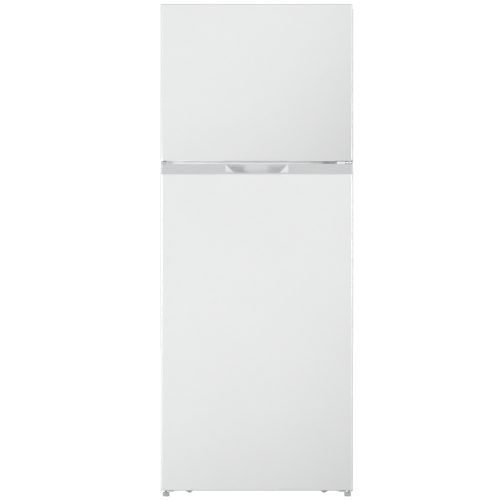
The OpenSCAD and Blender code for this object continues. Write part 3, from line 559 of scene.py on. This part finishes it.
def add_hinge_clip():
    """White clip over the front edge of the middle hinge's plate, between the two doors."""
    middle = (high("fridge_door_top_cap").z + low("freezer_door_bottom_cap").z) / 2
    wall, half, r = 1.2 * MM, 3.6 * MM, 1.1 * MM
    front = FRONT_Y + 21.6 * MM
    back = front + 12 * MM
    outline = [(back, middle - half), (back, middle - half + wall), (front + wall, middle - half + wall),
               (front + wall, middle + half - wall), (back, middle + half - wall), (back, middle + half)]
    for z, start in ((middle + half - r, 90), (middle - half + r, 180)):
        for i in range(4):
            a = math.radians(start + 30 * i)
            outline.append((front + r + r * math.cos(a), z + r * math.sin(a)))
    shape = Shape()
    x1 = high("middle_hinge").x - 21 * MM
    shape.prism(outline, x1 - 26 * MM, x1, 0)
    add_piece("middle_hinge_clip", shape, "cabinet", "white_plastic")


def add_knob():
    """Temperature knob: a fluted skirt, a raised grip bar and a pointer."""
    a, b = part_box("control_knob")
    x, z = (a.x + b.x) / 2, (a.z + b.z) / 2
    r = (b.x - a.x) / 2
    front = a.y
    face = low("control_box").y
    back = face - 0.5 * MM
    shape = Shape()
    skirt = [(r - 0.8 * MM, 0), (r, 0.8 * MM), (r, 3.2 * MM), (r - 0.8 * MM, 4.4 * MM),
             (r - 2.2 * MM, 4.9 * MM), (r - 6 * MM, 5.2 * MM), (2 * MM, 5.3 * MM)]
    shape.lathe((x, back, z), (0, -1, 0), skirt, 96,
                lambda angle, radius, h: 1 + (0.012 * math.cos(32 * angle) if 0.5 * MM < h < 4 * MM else 0))
    shape.lathe((x, b.y, z), (0, -1, 0), [(3.4 * MM, 0), (4 * MM, MM), (4 * MM, b.y - back + MM)], 32)
    shape.block((x - 4.2 * MM, front, z - r + MM), (x + 4.2 * MM, back - 4 * MM, z + r - MM), 1.8 * MM)
    add_piece("knob_moulded", shape, "temperature_knob", "grey_plastic", ("control_knob",))
    pointer = Shape()
    pointer.block((x - 0.8 * MM, front - 0.02 * MM, z + 6 * MM),
                  (x + 0.8 * MM, front + MM, z + r - 2 * MM), 0.4 * MM)
    add_piece("knob_pointer", pointer, "temperature_knob", "dark_plastic")
    ticks = Shape()
    for i in range(9):
        angle = math.radians(90 - 270 * i / 8)
        length = (3 + 0.35 * i) * MM
        out = Vector((math.cos(angle), 0, math.sin(angle)))
        across = Vector((-out.z, 0, out.x)) * 0.7 * MM
        start = Vector((x, 0, z)) + out * (r + 2.5 * MM)
        end = start + out * length
        corners = [start - across, end - across, end + across, start + across]
        ticks.loft([[(c.x, face + y, c.z) for c in corners] for y in (-0.15 * MM, 0.3 * MM)])
    add_piece("dial_marks", ticks, "cabinet", "dark_plastic")


def add_lens():
    """Lamp lens with a row of prisms underneath."""
    a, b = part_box("lamp_lens")
    teeth = 18
    step = (b.y - a.y - 4 * MM) / teeth
    outline = [(b.y, a.z + 2 * MM), (b.y, b.z), (a.y, b.z), (a.y, a.z + 2 * MM), (a.y + 2 * MM, a.z + 2 * MM)]
    for i in range(teeth):
        y = a.y + 2 * MM + i * step
        outline += [(y + 0.5 * step, a.z), (y + step, a.z + 2 * MM)]
    shape = Shape()
    shape.prism(outline, a.x, b.x, 0)
    add_piece("lens_ribbed", shape, "cabinet", "lens", ("lamp_lens",))


def add_fan():
    """Fan: hub with a domed nose and five twisted, swept blades."""
    a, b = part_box("fan_blade")
    centre = Vector(((a.x + b.x) / 2, b.y, (a.z + b.z) / 2))
    depth = b.y - a.y
    r_out = (b.x - a.x) / 2 - 0.6 * MM
    shape = Shape()
    hub = [(2.1 * MM, 0.2 * MM), (13 * MM, 0.2 * MM), (14 * MM, 1.5 * MM), (14 * MM, depth - 4 * MM),
           (12.5 * MM, depth - 1.2 * MM), (8 * MM, depth - 0.2 * MM), (2.1 * MM, depth)]
    shape.lathe(centre, (0, -1, 0), hub, 48, closed=True)
    for blade in range(5):
        rings = []
        for i in range(9):
            t = i / 8
            r = 13 * MM + (r_out - 13 * MM) * t
            pitch = math.radians(42 - 18 * t)
            sweep = math.radians(72 * blade + 16 * t * t)
            chord = (22 + 7 * math.sin(math.pi * min(t * 1.1, 1) * 0.8)) * MM * (1 - 0.25 * t ** 4)
            ring = []
            for k in range(14):
                u = 2 * math.pi * k / 14
                along = 0.5 * chord * math.cos(u)
                thick = 0.8 * MM * math.sin(u) + 1.6 * MM * (1 - math.cos(u) ** 2)
                y = along * math.sin(pitch) + thick * math.cos(pitch)
                side = along * math.cos(pitch) - thick * math.sin(pitch)
                y = max(-0.48 * depth, min(0.48 * depth, y))
                turn = sweep + side / r
                ring.append((centre.x + r * math.cos(turn),
                             centre.y - depth / 2 + y,
                             centre.z + r * math.sin(turn)))
            rings.append(ring)
        shape.loft(rings)
    add_piece("fan_moulded", shape, "evaporator_fan", "grey_plastic", ("fan_blade",), sharp=50)


# ---------- feet, rollers and fasteners ----------

def add_foot(node, body):
    """Levelling foot: a finely ribbed thumb wheel with a slightly crowned sole on a threaded stud."""
    a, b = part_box(node)
    centre = ((a.x + b.x) / 2, (a.y + b.y) / 2, 0)
    wheel = [(3, 0), (9, 0), (10.3, 0.5), (10.9, 1.6), (10.9, 2.2), (10.5, 2.6), (10.9, 3.0), (10.9, 11.0),
             (10.5, 12.2), (9.6, 12.9), (5, 13.0), (4.0, 13.2)]
    turns = int((b.z - 14 * MM) / (0.625 * MM))
    thread = [((4.0, 3.45)[i % 2], 14 + 0.625 * i) for i in range(turns)]
    profile = [(r * MM, h * MM) for r, h in wheel + thread + [(3.0, b.z / MM)]]

    def ribs(angle, radius, h):
        return 0.982 + 0.022 * math.cos(28 * angle) if 2.8 * MM < h < 11.2 * MM else 1.0

    shape = Shape()
    shape.lathe(centre, (0, 0, 1), profile, 112, ribs)
    add_piece(node + "_turned", shape, body, "grey_plastic", (node,), sharp=40)


def add_roller(node, body):
    """Roller: a moulded wheel with a split tread, dished webs and a hub round its bore."""
    a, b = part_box(node)
    centre = [(a[i] + b[i]) / 2 for i in range(3)]
    half = [(3.1, 0), (3.1, 9), (5.6, 9), (6, 8.6), (6.2, 6.5), (8.2, 6.5), (8.6, 8.1), (9.6, 8.5), (10, 8.0),
            (10, 0.9), (9.6, 0.5)]
    profile = half + [(r, -h) for r, h in reversed(half[1:])]
    shape = Shape()
    shape.lathe(centre, (1, 0, 0), [(r * MM, h * MM) for r, h in profile], 56, closed=True)
    add_piece(node + "_moulded", shape, body, "dark_plastic", (node,), sharp=40)


def loose_parts(node):
    """The vertices of each separate solid in a node."""
    mesh = bmesh.new()
    mesh.from_mesh(nodes[node].data)
    bmesh.ops.remove_doubles(mesh, verts=mesh.verts, dist=1e-6)
    left = set(mesh.verts)
    parts = []
    while left:
        group = []
        queue = [left.pop()]
        while queue:
            vert = queue.pop()
            group.append(vert.co.copy())
            for edge in vert.link_edges:
                other = edge.other_vert(vert)
                if other in left:
                    left.discard(other)
                    queue.append(other)
        parts.append(group)
    mesh.free()
    return parts


def cross_recess(angle, radius, h):
    """Draws the innermost rings of a screw's head into a cross."""
    return 1 + (0.55 * math.cos(4 * angle) if radius < 1.6 * MM and h > 4 * MM else 0)


def add_screws():
    """Pan-head screws with a cross recess and a thread, each where its plain solid is."""
    shape = Shape()
    for points in loose_parts("screws"):
        a = Vector([min(p[i] for p in points) for i in range(3)])
        b = Vector([max(p[i] for p in points) for i in range(3)])
        axis = max(range(3), key=lambda i: (b - a)[i])
        middle = (a + b) / 2
        across = (axis + 1) % 3
        widest = max(points, key=lambda p: abs(p[across] - middle[across]))
        sign = 1 if widest[axis] > middle[axis] else -1
        out = Vector([sign if i == axis else 0 for i in range(3)])
        top = Vector([(b if sign > 0 else a)[i] if i == axis else middle[i] for i in range(3)])
        length = (b - a)[axis] / MM
        head = [(0.3, length - 1.6), (0.9, length - 1.4), (1.5, length - 0.1), (2.6, length),
                (3.6, length - 0.35), (4.4, length - 1.1), (4.6, length - 1.9), (4.5, length - 2.4),
                (2.2, length - 2.4)]
        turns = int((length - 4) / 0.8)
        thread = [((2.2, 1.75)[i % 2], length - 3 - 0.8 * i) for i in range(turns)]
        profile = [(r * MM, h * MM) for r, h in head + thread + [(0.6, 0.2)]]
        shape.lathe(top - out * length * MM, out, profile, 32, cross_recess)
    add_piece("screws_turned", shape, "cabinet", "zinc_steel", ("screws",), sharp=35)


# ---------- machine compartment ----------

def add_compressor():
    """Compressor: two drawn steel cups welded at a flange, pressed feet, pipe stubs and a welded base."""
    a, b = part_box("compressor")
    centre = Vector(((a.x + b.x) / 2, (a.y + b.y) / 2, a.z))
    shape = Shape()
    shell = [(24, 3.2), (44, 4), (58, 7), (67, 13), (71, 22), (72, 34), (72, 76.5), (74.4, 77.2), (75, 79),
             (75, 82), (74.4, 83.6), (72.3, 84.4), (71.8, 92), (71.6, 112), (70.4, 126), (66, 138),
             (57.5, 147), (46, 153), (30, 156.6), (12, 157.8), (2, 158)]
    shape.lathe(centre, (0, 0, 1), [(r * MM, h * MM) for r, h in shell], 72)
    shape.block((a.x, a.y + 29 * MM, a.z), (b.x, b.y - 29 * MM, a.z + 3 * MM), 1.2 * MM)
    for side in (-1, 1):
        for end in (-1, 1):
            shape.lathe(centre + Vector((80 * side, 36 * end, 2.9)) * MM, (0, 0, 1),
                        [(7 * MM, 0), (7 * MM, 1.6 * MM), (6 * MM, 2.4 * MM), (2 * MM, 2.4 * MM)], 24)
    add_piece("compressor_shell", shape, "cabinet", "dark_steel", ("compressor",), sharp=40)
    pipes = Shape()
    for degrees in (20, 60):
        out = Vector((math.cos(math.radians(degrees)), math.sin(math.radians(degrees)), 0))
        start = centre + Vector((0, 0, 42 * MM)) + out * 66 * MM
        bend = [start + out * 13 * MM + Vector((0, 0, 8 * MM * (1 - math.cos(math.radians(15 * i)))))
                + out * 8 * MM * math.sin(math.radians(15 * i)) for i in range(7)]
        pipes.tube([start] + bend + [bend[-1] + Vector((0, 0, 14 * MM))], 3 * MM, 16)
    add_piece("compressor_pipes", pipes, "cabinet", "dark_steel", look=looks["copper"])


def add_drain_pan():
    """Drain pan: a shallow open tub."""
    a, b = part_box("drain_pan")
    shape = Shape()
    shape.tub(a, b, 2 * MM, 3 * MM, 14 * MM)
    add_piece("drain_pan_moulded", shape, "cabinet", "dark_plastic", ("drain_pan",))


add_doors()
add_crisper()
add_hinge_clip()
add_knob()
add_lens()
add_fan()
add_foot("foot_right", "front_foot_right")
add_foot("foot_left", "front_foot_left")
add_roller("roller_right", "rear_roller_right")
add_roller("roller_left", "rear_roller_left")
add_screws()
add_compressor()
add_drain_pan()


# ---------- CAD nodes that keep their shape ----------

BEVELS = {
    "cabinet_shell": 0.25, "back_panel": 0.2, "base_pan": 0.2, "mullion_rail": 0.2,
    "freezer_liner": 0.6, "fridge_liner": 0.6, "evaporator_cover": 0.5, "air_duct": 0.7,
    "control_box": 0.8, "shelf_glasses": 0.7, "shelf_trims": 0.9,
    "crisper_cover_glass": 0.7, "crisper_cover_frame": 0.7, "humidity_slider": 0.4,
    "freezer_door_top_cap": 0.4, "freezer_door_bottom_cap": 0.5, "fridge_door_top_cap": 0.7,
    "fridge_door_bottom_cap": 0.5, "top_hinge": 0.4, "top_hinge_cover": 1.0, "middle_hinge": 0.4,
    "bottom_hinge": 0.4, "left_foot_bracket": 0.4, "relay_box": 1.5, "machine_cover": 0.25,
    "freezer_door_plug": 0.4, "fridge_door_plug": 0.4,
}


def finish_node(name, look):
    """Rounds a CAD node's edges with modifiers and gives it its material."""
    piece = nodes[name]
    piece.data.materials.clear()
    piece.data.materials.append(look)
    piece.modifiers.new("weld", "WELD").merge_threshold = 0.001 * MM
    if name in BEVELS:
        bevel = piece.modifiers.new("bevel", "BEVEL")
        bevel.width = BEVELS[name] * MM
        bevel.segments = 2
        bevel.limit_method = "ANGLE"
        bevel.angle_limit = math.radians(35)
        bevel.harden_normals = True


for row in frame["record"]["subparts"]:
    finish_node(row["node"], looks[row["material_slot"]])
    nodes[row["node"]].visible_shadow = row["material_slot"] not in SEE_THROUGH


# ---------- stage and light ----------

FLOOR_SIZE = 30.0
DOME_R = 38.0
WORLD_STRENGTH = 0.30
DOOR_LIGHT_D = 7.0
DOOR_LIGHT = 640.0
STRIP_LIGHT = 1.9
GAP_LIGHT = 46.0

# Name, azimuth, elevation, strength and apparent size
SUNS = (
    ("front_left_light", -60, 1, 1.50, 4),
    ("front_right_light", 60, 1, 1.28, 4),
    ("left_light", -115, 25, 0.5, 30),
    ("right_light", 115, 25, 0.5, 30),
    ("rear_light", 180, 30, 1.5, 30),
    ("top_light", 180, 82, 1.2, 30),
)


def add_stage():
    """A pale floor and a far white backdrop, seen by the camera and through clear pieces."""
    floor = bpy.data.meshes.new("floor")
    h = FLOOR_SIZE / 2
    floor.from_pydata([(-h, -h, 0), (h, -h, 0), (h, h, 0), (-h, h, 0)], [], [(0, 1, 2, 3)])
    floor.materials.append(glow("pale_floor", (0.05, 0.05, 0.05), 1.0))
    dome = bpy.data.meshes.new("backdrop")
    ball = bmesh.new()
    bmesh.ops.create_uvsphere(ball, u_segments=32, v_segments=16, radius=DOME_R)
    bmesh.ops.reverse_faces(ball, faces=ball.faces)
    ball.to_mesh(dome)
    ball.free()
    dome.materials.append(glow("white_backdrop", (0.05, 0.05, 0.05), 1.0))
    for data in (floor, dome):
        piece = bpy.data.objects.new(data.name, data)
        bpy.context.scene.collection.objects.link(piece)
        piece.visible_diffuse = False
        piece.visible_glossy = False
        piece.visible_shadow = False


def light_only(light, name, members):
    """Lets a light reach only some nodes or pieces, through everything else."""
    lit = bpy.data.collections.new(name)
    for member in members:
        lit.objects.link(nodes.get(member) or bpy.data.objects[member])
    light.light_linking.receiver_collection = lit
    light.light_linking.blocker_collection = lit


def add_sun(name, azimuth, elevation, strength, size):
    """A soft far light of an apparent size; azimuth 0 is in front and 90 to the right, in degrees."""
    data = bpy.data.lights.new(name, "SUN")
    data.energy = strength
    data.angle = math.radians(size)
    light = bpy.data.objects.new(name, data)
    bpy.context.scene.collection.objects.link(light)
    a, e = math.radians(azimuth), math.radians(elevation)
    towards = Vector((math.sin(a) * math.cos(e), -math.cos(a) * math.cos(e), math.sin(e)))
    light.rotation_euler = towards.to_track_quat("Z", "Y").to_euler()
    return light


def add_spot(name, members, place, aim, spread, blend, strength):
    """A soft spot without a highlight that lights only some nodes, through the others."""
    data = bpy.data.lights.new(name, "SPOT")
    data.energy = strength
    data.shadow_soft_size = 0.1
    data.spot_size = spread
    data.spot_blend = blend
    light = bpy.data.objects.new(name, data)
    bpy.context.scene.collection.objects.link(light)
    light.location = place
    light.rotation_euler = (place - aim).to_track_quat("Z", "Y").to_euler()
    light.visible_glossy = False
    light_only(light, name, members)


def add_door_light(name, members, corner, inner, outer, strength):
    """Lights a door fully within inner of a point beyond its upper left corner and not past outer."""
    half = math.atan(outer / DOOR_LIGHT_D)
    blend = (math.cos(math.atan(inner / DOOR_LIGHT_D)) - math.cos(half)) / (1 - math.cos(half))
    add_spot(name, members, corner + Vector((0, -DOOR_LIGHT_D, 0)), corner, 2 * half, blend, strength)


def add_lights():
    """Soft light from all round, and lights that even out the doors, the handle strip and the gap."""
    for sun in SUNS:
        add_sun(*sun)
    corner = Vector((low("fridge_door_skin").x - 0.3, FRONT_Y, high("freezer_door_skin").z + 0.4))
    freezer_front = ("freezer_door_skin", "freezer_door_top_cap")
    add_door_light("freezer_door_light", freezer_front, corner, 0.74, 1.50, DOOR_LIGHT)
    corner.z = high("fridge_door_skin").z + 0.2
    fridge_front = ("fridge_door_skin", "fridge_door_bottom_cap")
    add_door_light("fridge_door_light", fridge_front, corner, 0.80, 1.75, DOOR_LIGHT)
    for side in (-1, 1):
        strip_light = add_sun("strip_light", side * 75, 15, STRIP_LIGHT, 16)
        strip_light.visible_glossy = False
        light_only(strip_light, strip_light.name, ("fridge_door_top_cap",))
    left_gap = Vector((low("fridge_door_skin").x, FRONT_Y, high("fridge_door_top_cap").z))
    in_gap = ("freezer_door_bottom_cap", "mullion_rail", "middle_hinge", "middle_hinge_clip")
    place = left_gap + Vector((-0.4, -0.4, -1.1))
    aim = left_gap + Vector((0.1, 0, 0))
    add_spot("gap_light", in_gap, place, aim, math.radians(90), 0.6, GAP_LIGHT)


def add_world():
    """An even white surround."""
    world = bpy.data.worlds.new("studio")
    world.use_nodes = True
    world.node_tree.nodes["Background"].inputs["Color"].default_value = (1, 1, 1, 1)
    world.node_tree.nodes["Background"].inputs["Strength"].default_value = WORLD_STRENGTH
    bpy.context.scene.world = world
    bpy.context.scene.view_settings.view_transform = "Standard"


add_camera()
add_stage()
add_lights()
add_world()
